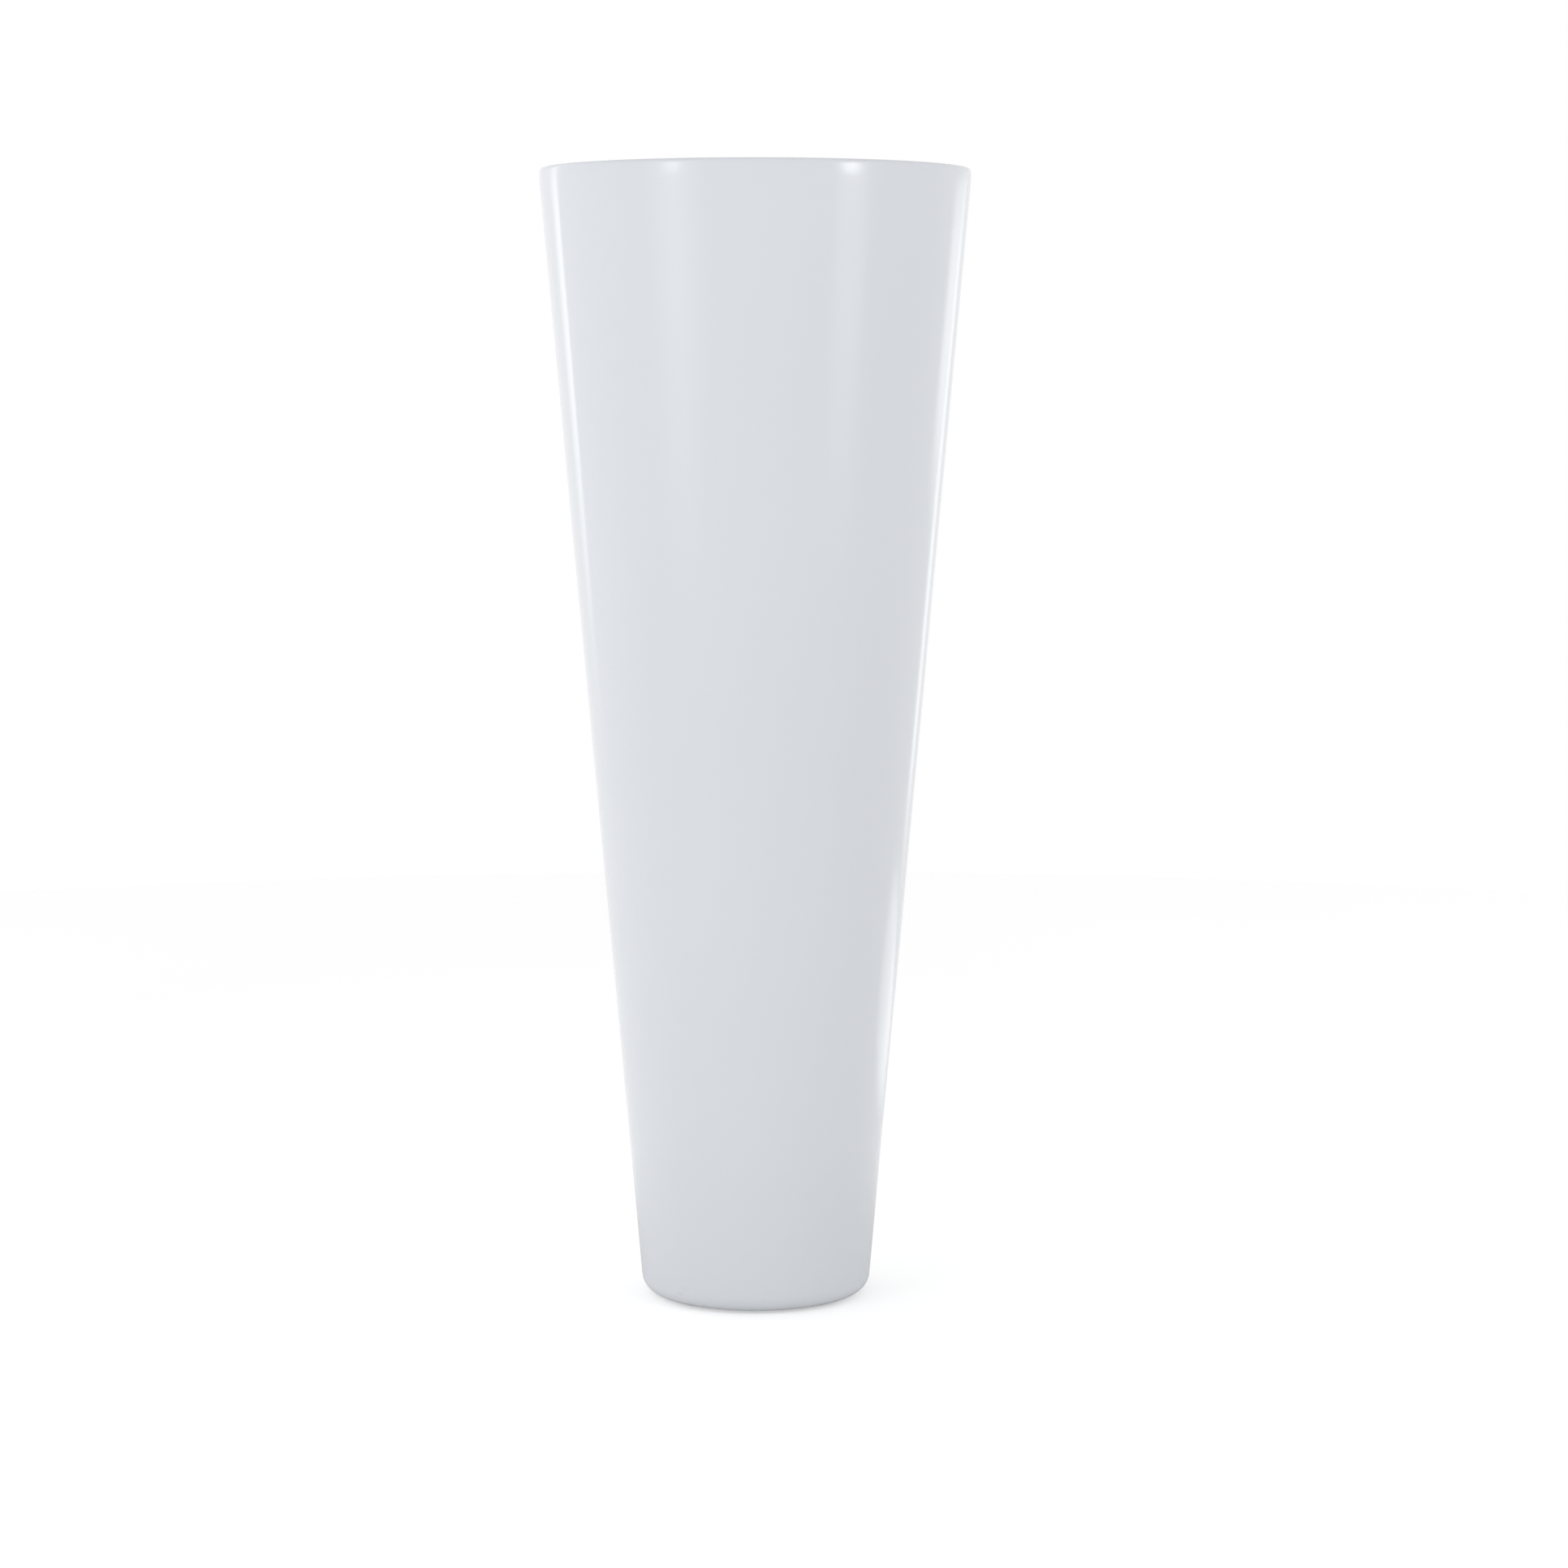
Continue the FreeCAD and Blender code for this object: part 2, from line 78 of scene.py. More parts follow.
WAVE_SEED = 3
BUFFING_FOOT = RIM_Z - 0.035
BUFFING_TOP = RIM_Z - 0.006
SCUFFS_TOP = FOOT_Z + 0.03
STRANDS = 420
STRAND_STRETCH = (1, 1, 14)
STRAND_TURNS = (
    (0, 0, 0), (1.57, 0, 0), (0, 1.57, 0), (0.8, 0.2, 0.4), (-0.7, 0.9, 0), (0.5, -0.9, 1.1)
)
SHELL_SEGMENTS = 288
SHELL_ROW = 0.008
ARC_STEP = 0.0009
ARC_POINTS = 4
SHARP_ANGLE = math.radians(40)
LEAN = (RIM_RADIUS - FOOT_RADIUS) / (RIM_Z - FOOT_Z)
LEAN_SECANT = math.hypot(1, LEAN)
RING_TOP = FOOT_Z + RING_THICKNESS
RING_RADIUS = FOOT_RADIUS + (LEAN - LEAN_SECANT) * FOOT_ROUND - RING_WIDTH
LIP_RADIUS = RIM_RADIUS - LIP_WIDTH
LIP_UNDERSIDE = RIM_Z - LIP_THICKNESS


def wall_radius(height, depth=0.0):
    """The wall's radius at a height, at a depth under its outer face."""
    return FOOT_RADIUS + LEAN * (height - FOOT_Z) - depth * LEAN_SECANT


def rounded_outline(corners, row, closed=True):
    """Points along a section given as (radius, height, rounding) corners, with an arc at each corner."""
    places = [np.array(corner[:2]) for corner in corners]
    arcs = []
    for i, (*_, rounding) in enumerate(corners):
        is_end = not closed and i in (0, len(corners) - 1)
        if is_end or rounding == 0:
            arcs.append([places[i]])
            continue
        back = places[i - 1] - places[i]
        ahead = places[(i + 1) % len(places)] - places[i]
        back, ahead = back / np.linalg.norm(back), ahead / np.linalg.norm(ahead)
        half_angle = math.acos(np.clip(back @ ahead, -1, 1)) / 2
        sweep = math.pi - 2 * half_angle
        inward = (back + ahead) / np.linalg.norm(back + ahead)
        centre = places[i] + inward * rounding / math.sin(half_angle)
        start = places[i] + back * rounding / math.tan(half_angle) - centre
        end = places[i] + ahead * rounding / math.tan(half_angle) - centre
        shares = np.linspace(0, 1, max(ARC_POINTS, math.ceil(rounding * sweep / ARC_STEP)))
        arcs.append([
            centre + (
                math.sin((1 - share) * sweep) * start + math.sin(share * sweep) * end
            ) / math.sin(sweep)
            for share in shares
        ])
    outline = []
    for i, arc in enumerate(arcs):
        outline += arc
        if i == len(arcs) - 1 and not closed:
            break
        run_start, run_end = arc[-1], arcs[(i + 1) % len(arcs)][0]
        steps = max(1, math.ceil(np.linalg.norm(run_end - run_start) / row))
        outline += [run_start + (run_end - run_start) * step / steps for step in range(1, steps)]
    return np.array(outline)


def turned_points(outline, segments):
    """The outline's points repeated round the vase's axis, as rows of (x, y, z)."""
    angles = np.linspace(0, 2 * math.pi, segments, endpoint=False)
    radius, height = outline[:, :1], outline[:, 1:]
    x, y = radius * np.cos(angles), radius * np.sin(angles)
    return np.stack(np.broadcast_arrays(x, y, height), axis=-1)


def turned_mesh(name, grids):
    """A smooth mesh through grids of points round an axis: rings, or forms closed at the axis."""
    mesh = bpy.data.meshes.new(name)
    points, faces = [], []
    for points_grid, is_ring in grids:
        rows, segments = points_grid.shape[:2]
        row = np.arange(rows if is_ring else rows - 1)[:, None]
        column = np.arange(segments)[None, :]
        next_row, next_column = (row + 1) % rows, (column + 1) % segments
        corners = [(row, column), (row, next_column), (next_row, next_column), (next_row, column)]
        quads = len(points) + np.stack([r * segments + c for r, c in corners], axis=-1)
        faces += quads.reshape(-1, 4).tolist()
        if not is_ring:
            faces.append([len(points) + c for c in reversed(range(segments))])
            faces.append([len(points) + (rows - 1) * segments + c for c in range(segments)])
        points += points_grid.reshape(-1, 3).tolist()
    mesh.from_pydata(points, [], faces)
    mesh.shade_smooth()
    mesh.set_sharp_from_angle(angle=SHARP_ANGLE)
    return mesh


def add_object(name, data):
    """An object in the scene, at the frame's origin."""
    thing = bpy.data.objects.new(name, data)
    bpy.context.scene.collection.objects.link(thing)
    return thing


def place_piece(name, mesh, body, nodes, slot, *finishes):
    """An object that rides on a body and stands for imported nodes."""
    piece = add_object(name, mesh)
    for finish in finishes:
        mesh.materials.append(finish)
    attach(piece, body)
    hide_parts(*nodes)


class Wire:
    """An output of a shader node. Arithmetic on wires and numbers adds Math nodes to their tree."""

    def __init__(self, tree, socket):
        self.tree = tree
        self.socket = socket

    def maths(self, operation, first, second):
        return self.tree.add("ShaderNodeMath", {"operation": operation}, {0: first, 1: second})

    def __add__(self, other):
        return self.maths("ADD", self, other)

    def __radd__(self, other):
        return self.maths("ADD", other, self)

    def __sub__(self, other):
        return self.maths("SUBTRACT", self, other)

    def __rsub__(self, other):
        return self.maths("SUBTRACT", other, self)

    def __mul__(self, other):
        return self.maths("MULTIPLY", self, other)

    def __rmul__(self, other):
        return self.maths("MULTIPLY", other, self)

    def __truediv__(self, other):
        return self.maths("DIVIDE", self, other)

    def __rtruediv__(self, other):
        return self.maths("DIVIDE", other, self)

    def __pow__(self, other):
        return self.maths("POWER", self, other)

    def __rpow__(self, other):
        return self.maths("POWER", other, self)

    def larger(self, other):
        return self.maths("MAXIMUM", self, other)

    def step(self, start, end):
        """Smoothly from 0 at the start value to 1 at the end value, whichever is larger."""
        low, high, first = (start, end, 0) if start < end else (end, start, 1)
        return self.tree.add(
            "ShaderNodeMapRange",
            {"interpolation_type": "SMOOTHSTEP"},
            {"Value": self, "From Min": low, "From Max": high, "To Min": first, "To Max": 1 - first},
        )


class Tree:
    """The nodes of a material or of the world."""

    def __init__(self, owner):
        owner.use_nodes = True
        self.nodes = owner.node_tree.nodes
        self.links = owner.node_tree.links
        self.nodes.clear()

    def add(self, kind, settings=None, sockets=None, output=0):
        """A node with its settings and its sockets' values or wires; returns one of its outputs."""
        node = self.nodes.new(kind)
        for name, setting in (settings or {}).items():
            setattr(node, name, setting)
        for name, value in (sockets or {}).items():
            if isinstance(value, Wire):
                self.links.new(value.socket, node.inputs[name])
            else:
                node.inputs[name].default_value = value
        return Wire(self, node.outputs[output]) if node.outputs else None

    def mix(self, factor, first, second):
        """One colour turning into another."""
        return self.add("ShaderNodeMix", {"data_type": "RGBA"}, {0: factor, 6: first, 7: second}, 2)

    def place(self):
        """The point's place on the piece, in metres."""
        return self.add("ShaderNodeTexCoord", output="Object")

    def parts(self, vector, axes):
        """A vector's values along the named axes."""
        return [self.add("ShaderNodeSeparateXYZ", {}, {"Vector": vector}, axis) for axis in axes]

    def height(self):
        """The point's height above the floor, in metres."""
        return self.parts(self.place(), "Z")[0]

    def noise(self, scale, detail=2.0, roughness=0.5, stretch=(1, 1, 1), turn=(0, 0, 0)):
        """Cloudy noise from 0 to 1 with so many lumps to the metre, drawn out along turned axes."""
        place = self.add(
            "ShaderNodeMapping",
            {"vector_type": "TEXTURE"},
            {"Vector": self.place(), "Rotation": turn, "Scale": stretch},
        )
        sockets = {"Vector": place, "Scale": scale, "Detail": detail, "Roughness": roughness}
        return self.add("ShaderNodeTexNoise", {}, sockets)

    def bump(self, height, distance):
        """A normal tilted by a height, which is worth so many metres."""
        return self.add("ShaderNodeBump", {}, {"Height": height, "Distance": distance, "Strength": 1.0})

    def finish(self, **sockets):
        """The material's one shader, with its sockets by name."""
        names = {name: name.replace("_", " ").title().replace("Ior", "IOR") for name in sockets}
        named_sockets = {names[name]: value for name, value in sockets.items()}
        shader = self.add("ShaderNodeBsdfPrincipled", {}, named_sockets)
        self.add("ShaderNodeOutputMaterial", {}, {"Surface": shader})


def rgb(red, green, blue):
    """An opaque colour."""
    return (red, green, blue, 1.0)


def make_gelcoat():
    """Glossy white gelcoat: faint orange peel, buffing marks below the rim, scuffs round the foot."""
    material = bpy.data.materials.new("gelcoat")
    tree = Tree(material)
    clouds = tree.noise(5, detail=3)
    peel = tree.noise(260, detail=1)
    smears = tree.noise(9, detail=4)
    buffing = tree.noise(900, detail=2, roughness=0.6, stretch=(1, 1, 9))
    buffing = buffing * tree.height().step(BUFFING_FOOT, BUFFING_TOP)
    scuffs = tree.noise(70, detail=5, roughness=0.7, stretch=(3, 3, 1)).step(0.6, 0.74)
    scuffs = scuffs * tree.height().step(SCUFFS_TOP, FOOT_Z)
    white = tree.mix(clouds, rgb(0.705, 0.727, 0.768), rgb(0.725, 0.745, 0.782))
    tree.finish(
        base_color=tree.mix(0.3 * scuffs, white, rgb(0.42, 0.42, 0.42)),
        roughness=0.085 + 0.05 * smears + 0.10 * buffing + 0.25 * scuffs,
        ior=1.5,
        normal=tree.bump(peel + 0.35 * buffing, 0.000015),
    )
    return material


def make_raw_laminate():
    """Bare laminate: chopped strands lying every way in a milky, slightly green resin."""
    material = bpy.data.materials.new("raw_laminate")
    tree = Tree(material)
    strands, *lays = (
        tree.noise(STRANDS, detail=1, roughness=0.4, stretch=STRAND_STRETCH, turn=turn).step(0.56, 0.68)
        for turn in STRAND_TURNS
    )
    for lay in lays:
        strands = strands.larger(lay)
    milk = tree.noise(25, detail=3)
    resin = tree.mix(milk, rgb(0.58, 0.59, 0.515), rgb(0.65, 0.655, 0.58))
    tree.finish(
        base_color=tree.mix(strands, resin, rgb(0.76, 0.76, 0.70)),
        roughness=0.28 + 0.2 * strands + 0.2 * milk,
        normal=tree.bump(strands + 0.6 * milk, 0.0004),
    )
    return material


def wave(points):
    """Slow swells of a hand-laid wall, as one offset for each point of a grid."""
    draw = np.random.default_rng(WAVE_SEED)
    turn = np.arctan2(points[..., 1], points[..., 0])
    swell = np.zeros(points.shape[:2])
    for _ in range(WAVES):
        around = draw.integers(*WAVE_LOBES)
        up = draw.normal() * math.pi / WAVE_LENGTH
        start = draw.uniform(0, 2 * math.pi)
        swell += np.cos(around * turn + up * points[..., 2] + start)
    return WAVE_HEIGHT * swell / math.sqrt(WAVES)


def push_out(points, offset):
    """Moves a grid's points away from the vase's axis."""
    radius = np.hypot(points[..., 0], points[..., 1])
    points[..., :2] *= (1 + offset / radius)[..., None]


curl_shares = np.linspace(0, CURL_END, CURL_ROWS)
curl_rows = [(share, RIM_Z - CURL_HEIGHT * (1 - share)) for share in curl_shares]
shell_outline = rounded_outline(
    [
        (RING_RADIUS, FOOT_Z, RING_ROUND),
        (FOOT_RADIUS, FOOT_Z, FOOT_ROUND),
        *[(wall_radius(height) - CURL * share ** 2, height, 0) for share, height in curl_rows],
        (RIM_RADIUS - CURL, RIM_Z, RIM_ROUND),
        (LIP_RADIUS, RIM_Z, LIP_ROUND),
        (LIP_RADIUS, LIP_UNDERSIDE, LIP_ROUND),
        (wall_radius(LIP_UNDERSIDE, WALL), LIP_UNDERSIDE, LIP_ROOT),
        (wall_radius(RING_TOP, WALL), RING_TOP, FOOT_ROUND - WALL),
        (RING_RADIUS - RING_DRAFT, RING_TOP, RING_TOP_ROUND),
    ],
    SHELL_ROW,
)
shell_points = turned_points(shell_outline, SHELL_SEGMENTS)
shell_rise = (shell_outline[:, 1] - FOOT_Z) / (RIM_Z - FOOT_Z)
wave_share = 4 * shell_rise * (1 - shell_rise)
push_out(shell_points, wave(shell_points) * wave_share[:, None])
from_lip_edge = np.hypot(*(shell_outline - (LIP_RADIUS, LIP_UNDERSIDE)).T)
is_past_lip = np.arange(len(shell_outline)) > np.argmin(from_lip_edge)
gelcoat = make_gelcoat()
raw_laminate = make_raw_laminate()
shell_mesh = turned_mesh("shell_moulding", [(shell_points, True)])
place_piece("shell_moulding", shell_mesh, "vase", ["shell"], "gelcoat", gelcoat, raw_laminate)
for face in shell_mesh.polygons:
    face.material_index = int(is_past_lip[face.index // SHELL_SEGMENTS])


# Base plate: a disc of solid laminate with a drain hole in its middle. It is laid up flat on a bench,
# cut out, and bonded on the ring that turns in at the foot.
PLATE_TOP = RING_TOP + 0.008
PLATE_RADIUS = RING_RADIUS + 0.014
PLATE_ROUND = 0.001
PLATE_FOOT_ROUND = 0.0004
PLATE_ROW = 0.004
DRAIN_RADIUS = 0.0125
TURNED_SEGMENTS = 192

plate_outline = rounded_outline(
    [
        (DRAIN_RADIUS, RING_TOP, PLATE_FOOT_ROUND),
        (PLATE_RADIUS, RING_TOP, PLATE_FOOT_ROUND),
        (PLATE_RADIUS, PLATE_TOP, PLATE_ROUND),
        (DRAIN_RADIUS, PLATE_TOP, PLATE_ROUND),
    ],
    PLATE_ROW,
)
plate_mesh = turned_mesh("base_plate_disc", [(turned_points(plate_outline, TURNED_SEGMENTS), True)])
place_piece("base_plate_disc", plate_mesh, "vase", ["base_plate"], "raw_laminate", raw_laminate)


# Ballast: concrete poured over the base plate with the vase upright, round a former that leaves a well
# above the drain. Its top is floated by hand, so it is uneven, pitted, and creeps up the wall a little.
BOND_GAP = 0.0003
BALLAST_TOP = PLATE_TOP + 0.080
BALLAST_ROUND = 0.0005
BALLAST_FOOT_ROUND = 0.0003
BALLAST_ROW = 0.003
WELL_RADIUS = DRAIN_RADIUS + 0.018
WELL_ROUND = 0.004
FLOATED_DEPTH = 0.001
FLOATED_RELIEF = 0.0012
FLOATED_LUMPS = 40
CREEP_HEIGHT = 0.0025
CREEP_WIDTH = 0.004


def make_concrete():
    """Cast concrete: cloudy grey paste, grains of sand, and pits left by bubbles of air, painted dark as
    their shade.
    """
    material = bpy.data.materials.new("concrete")
    tree = Tree(material)
    clouds = tree.noise(14, detail=4)
    sand = tree.noise(900, detail=2)
    # The pits' near-black colour is painted shade in the hollows; their bump is real relief.
    shaded_pits = tree.noise(170, detail=1).step(0.72, 0.66)
    paste = tree.mix(clouds, rgb(0.33, 0.325, 0.31), rgb(0.52, 0.51, 0.48))
    grains = tree.mix(sand.step(0.35, 0.7), paste, rgb(0.46, 0.44, 0.40))
    tree.finish(
        base_color=tree.mix(shaded_pits, rgb(0.12, 0.12, 0.115), grains),
        roughness=0.82 + 0.14 * sand,
        normal=tree.bump(shaded_pits + 0.25 * sand, 0.0008),
    )
    return material


ballast_wall = wall_radius(BALLAST_TOP, WALL + BOND_GAP)
ballast_outline = rounded_outline(
    [
        (WELL_RADIUS, PLATE_TOP, BALLAST_ROUND),
        (PLATE_RADIUS + BOND_GAP, PLATE_TOP, BALLAST_FOOT_ROUND),
        (PLATE_RADIUS + BOND_GAP, RING_TOP, BALLAST_FOOT_ROUND),
        (wall_radius(RING_TOP, WALL + BOND_GAP), RING_TOP, FOOT_ROUND - WALL + BOND_GAP),
        (ballast_wall, BALLAST_TOP, BALLAST_ROUND),
        (WELL_RADIUS, BALLAST_TOP, WELL_ROUND),
    ],
    BALLAST_ROW,
)
ballast_points = turned_points(ballast_outline, TURNED_SEGMENTS)
for place in ballast_points.reshape(-1, 3):
    if place[2] > BALLAST_TOP - FLOATED_DEPTH:
        creep = CREEP_HEIGHT * math.exp(-(ballast_wall - math.hypot(place[0], place[1])) / CREEP_WIDTH)
        place[2] += creep + FLOATED_RELIEF * noise.fractal(Vector(place) * FLOATED_LUMPS, 1.0, 2.0, 4)
ballast_mesh = turned_mesh("ballast_casting", [(ballast_points, True)])
place_piece("ballast_casting", ballast_mesh, "vase", ["ballast_ring"], "concrete", make_concrete())


# Liner ledge: an angle-section ring of laminate, laid up over a former and bonded to the wall below the
# rim. Its upper face is trimmed flat to carry the liner, and the foot of its skirt is left ragged.
LEDGE_TOP = RIM_Z - 0.046
LEDGE_THICKNESS = 0.004
LEDGE_UNDERSIDE = LEDGE_TOP - LEDGE_THICKNESS
LEDGE_FOOT = LEDGE_TOP - 0.026
LEDGE_ROUND = 0.0006
LEDGE_ROOT = 0.003
LEDGE_FOOT_ROUND = 0.0015
LEDGE_BACK_ROUND = 0.0004
LEDGE_ROW = 0.002
FLANGE_RADIUS = LIP_RADIUS - 0.002
LEDGE_RADIUS = FLANGE_RADIUS - 0.010
LEDGE_BACK = WALL + BOND_GAP
LEDGE_FRONT = LEDGE_BACK + LEDGE_THICKNESS
RAG_RISE = 0.0015
RAG_RELIEF = 0.0025
RAG_LUMPS = 45

ledge_outline = rounded_outline(
    [
        (LEDGE_RADIUS, LEDGE_UNDERSIDE, LEDGE_ROUND),
        (wall_radius(LEDGE_UNDERSIDE, LEDGE_FRONT), LEDGE_UNDERSIDE, LEDGE_ROOT),
        (wall_radius(LEDGE_FOOT, LEDGE_FRONT), LEDGE_FOOT, LEDGE_FOOT_ROUND),
        (wall_radius(LEDGE_FOOT, LEDGE_BACK), LEDGE_FOOT, LEDGE_BACK_ROUND),
        (wall_radius(LEDGE_TOP, LEDGE_BACK), LEDGE_TOP, LEDGE_BACK_ROUND),
        (LEDGE_RADIUS, LEDGE_TOP, LEDGE_ROUND),
    ],
    LEDGE_ROW,
)
ledge_points = turned_points(ledge_outline, SHELL_SEGMENTS)
for place in ledge_points.reshape(-1, 3):
    rag = max(0.0, (LEDGE_UNDERSIDE - place[2]) / (LEDGE_UNDERSIDE - LEDGE_FOOT))
    lumps = noise.fractal(Vector((place[0], place[1], 0)) * RAG_LUMPS, 1.0, 2.0, 3)
    rise = rag * (RAG_RISE + RAG_RELIEF * lumps)
    place[2] += rise
    place[:2] *= 1 + LEAN * rise / math.hypot(place[0], place[1])
ledge_mesh = turned_mesh("liner_ledge_ring", [(ledge_points, True)])
place_piece("liner_ledge_ring", ledge_mesh, "vase", ["liner_ledge"], "raw_laminate", raw_laminate)


# Foot pads: four round pads of moulded rubber, stuck under the foot's ring after the shell is trimmed.
# Rings moulded in their undersides grip the floor.
PAD_COUNT = 4
PAD_RADIUS = 0.008
PAD_CIRCLE = RING_RADIUS + RING_WIDTH / 2
PAD_DRAFT = 0.0003
PAD_TOP_ROUND = 0.0003
PAD_ROUND = 0.0002
PAD_RINGS = (0.0018, 0.0034, 0.0050, 0.0066)
PAD_GROOVE = 0.0004
PAD_RING_SECTION = ((-0.0006, PAD_GROOVE), (-0.0003, 0.0), (0.0003, 0.0), (0.0006, PAD_GROOVE))
PAD_SEGMENTS = 64
RUBBER_ROW = 0.001
AXIS_RADIUS = 0.0002


def make_rubber():
    """Black rubber: dusty in its hollows, with a fine moulded grain."""
    material = bpy.data.materials.new("rubber")
    tree = Tree(material)
    dust = tree.noise(60, detail=4, roughness=0.6)
    grain = tree.noise(2600, detail=2)
    tree.finish(
        base_color=tree.mix(dust.step(0.45, 0.8), rgb(0.022, 0.022, 0.023), rgb(0.062, 0.06, 0.057)),
        roughness=0.56 + 0.22 * dust,
        normal=tree.bump(grain, 0.00006),
    )
    return material


pad_rings = [
    (middle + aside, height, PAD_ROUND) for middle in PAD_RINGS for aside, height in PAD_RING_SECTION
]
pad_outline = rounded_outline(
    [
        (AXIS_RADIUS, PAD_GROOVE, 0),
        *pad_rings,
        (PAD_RADIUS - PAD_DRAFT, PAD_GROOVE, PAD_ROUND),
        (PAD_RADIUS, FOOT_Z, PAD_TOP_ROUND),
        (AXIS_RADIUS, FOOT_Z, 0),
    ],
    RUBBER_ROW,
    closed=False,
)
pad_grids = []
for i in range(PAD_COUNT):
    turn = 2 * math.pi * (i + 0.5) / PAD_COUNT
    middle = np.array([PAD_CIRCLE * math.cos(turn), PAD_CIRCLE * math.sin(turn), 0])
    pad_grids.append((turned_points(pad_outline, PAD_SEGMENTS) + middle, False))
rubber = make_rubber()
pad_mesh = turned_mesh("rubber_pads", pad_grids)
place_piece("rubber_pads", pad_mesh, "vase", ["foot_pads"], "rubber", rubber)


# Drain plug: a bung of moulded rubber pushed up into the base plate's hole from below. Its flange stops
# it, rings round its shank seal it, and a hollow underneath lets two fingers squeeze it to pull it out.
PLUG_FLANGE_RADIUS = DRAIN_RADIUS + 0.0065
PLUG_FLANGE_FOOT = RING_TOP - 0.003
PLUG_SHANK = DRAIN_RADIUS - 0.0003
PLUG_HOLLOW = PLUG_SHANK - 0.006
PLUG_HOLLOW_TOP = PLUG_FLANGE_FOOT + 0.008
PLUG_HOLLOW_ROUND = 0.0012
PLUG_MOUTH_ROUND = 0.0006
PLUG_TOP = PLATE_TOP + 0.006
PLUG_ROUND = 0.001
PLUG_FINE_ROUND = 0.0004
PLUG_DRAFT = 0.0001
PLUG_NOSE = 0.001
PLUG_SEGMENTS = 96
PARTING_Z = PLUG_FLANGE_FOOT + 0.0019
PARTING_RISE = 0.00025
PARTING_HALF = 0.0002
PARTING_ROUND = 0.0001
SEAL_HEIGHTS = (0.0014, 0.0034, 0.0054)
SEAL_RISE = 0.0002
SEAL_GROOVE = 0.0003
SEAL_SECTION = ((0, -SEAL_GROOVE), (0.0005, SEAL_RISE), (0.0009, SEAL_RISE), (0.0014, -SEAL_GROOVE))
SEAL_ROUND = 0.0002

plug_seals = [
    (PLUG_SHANK + rise, RING_TOP + height + along, SEAL_ROUND)
    for height in SEAL_HEIGHTS for along, rise in SEAL_SECTION
]
plug_outline = rounded_outline(
    [
        (AXIS_RADIUS, PLUG_HOLLOW_TOP, 0),
        (PLUG_HOLLOW, PLUG_HOLLOW_TOP, PLUG_HOLLOW_ROUND),
        (PLUG_HOLLOW, PLUG_FLANGE_FOOT, PLUG_MOUTH_ROUND),
        (PLUG_FLANGE_RADIUS, PLUG_FLANGE_FOOT, PLUG_ROUND),
        (PLUG_FLANGE_RADIUS, PARTING_Z - PARTING_HALF, PARTING_ROUND),
        (PLUG_FLANGE_RADIUS + PARTING_RISE, PARTING_Z, PARTING_ROUND),
        (PLUG_FLANGE_RADIUS, PARTING_Z + PARTING_HALF, PARTING_ROUND),
        (PLUG_FLANGE_RADIUS, RING_TOP, PLUG_FINE_ROUND),
        (PLUG_SHANK - SEAL_GROOVE, RING_TOP, PLUG_FINE_ROUND),
        *plug_seals,
        (PLUG_SHANK - PLUG_DRAFT, PLATE_TOP, PLUG_FINE_ROUND),
        (PLUG_SHANK - PLUG_NOSE, PLUG_TOP, PLUG_ROUND),
        (AXIS_RADIUS, PLUG_TOP, 0),
    ],
    RUBBER_ROW,
    closed=False,
)
plug_mesh = turned_mesh("drain_bung", [(turned_points(plug_outline, PLUG_SEGMENTS), False)])
place_piece("drain_bung", plug_mesh, "drain_plug", ["drain_plug"], "rubber", rubber)


# Liner: a planting pot of black polypropylene, injection moulded with a gate in the middle of its floor,
# drain holes round it, and two hinge lugs on its flange. It hangs on the ledge by that flange.
FLANGE_TOP = LEDGE_TOP + 0.004
FLANGE_ROUND = 0.0012
FLANGE_FOOT_ROUND = 0.0004
COLLAR_FOOT = LEDGE_TOP - 0.062
COLLAR_DRAFT = 0.001
COLLAR_STEP = 0.004
COLLAR_ROUND = 0.0012
COLLAR_ROOT = 0.0008
LINER_BOTTOM = LEDGE_TOP - 0.300
LINER_WALL = 0.003
LINER_FLOOR = LINER_BOTTOM + 0.004
LINER_RADIUS = LEDGE_RADIUS - 0.003
LINER_INNER_RADIUS = LINER_RADIUS - LINER_WALL
LINER_BASE_RADIUS = LINER_RADIUS - 0.035
LINER_BASE_ROUND = 0.008
LINER_ROW = 0.012
LINER_DRAINS = 8
LINER_DRAIN_RADIUS = 0.004
LINER_DRAIN_CIRCLE = LINER_BASE_RADIUS - 0.046
GATE_POCKET = 0.0008
GATE_POCKET_SECTION = ((0.0040, GATE_POCKET), (0.0048, 0))
GATE_POCKET_ROUND = 0.0002
GATE_STUB = 0.0009
FLOOR_RING = 0.0008
FLOOR_MARKS = (
    (0.0328, 0), (0.0320, FLOOR_RING), (0.0300, FLOOR_RING), (0.0292, 0),
    (0.0034, 0), (0.0030, GATE_STUB),
)
FLOOR_MARK_ROUND = 0.0003
WIRE_RADIUS = 0.0025
WIRE_ROOM = 0.00025
HINGE_X = 0.022
HINGE_Z = FLANGE_TOP + 0.0008 + WIRE_RADIUS
HANDLE_RADIUS = LINER_INNER_RADIUS + 0.002
BEND_RADIUS = 0.008
BEND_X = HINGE_X + BEND_RADIUS
BEND_Y = math.sqrt((HANDLE_RADIUS + BEND_RADIUS) ** 2 - BEND_X ** 2)
LUG_INNER_Y = BEND_Y + 0.0004
LUG_OUTER_Y = LUG_INNER_Y + 0.0046
LUG_HALF_WIDTH = HINGE_X + WIRE_RADIUS + WIRE_ROOM + 0.004
LUG_TOP = FLANGE_TOP + 0.0095
LUG_FOOT = FLANGE_TOP - 0.002
LUG_CORNER = 0.002
LUG_EDGE = 0.0008
LUG_ROW = 1.0
EDGE_STEPS = 4
HOLE_FACES = 40
HINGE_CUT = 0.2
DRAIN_CUT = 0.01


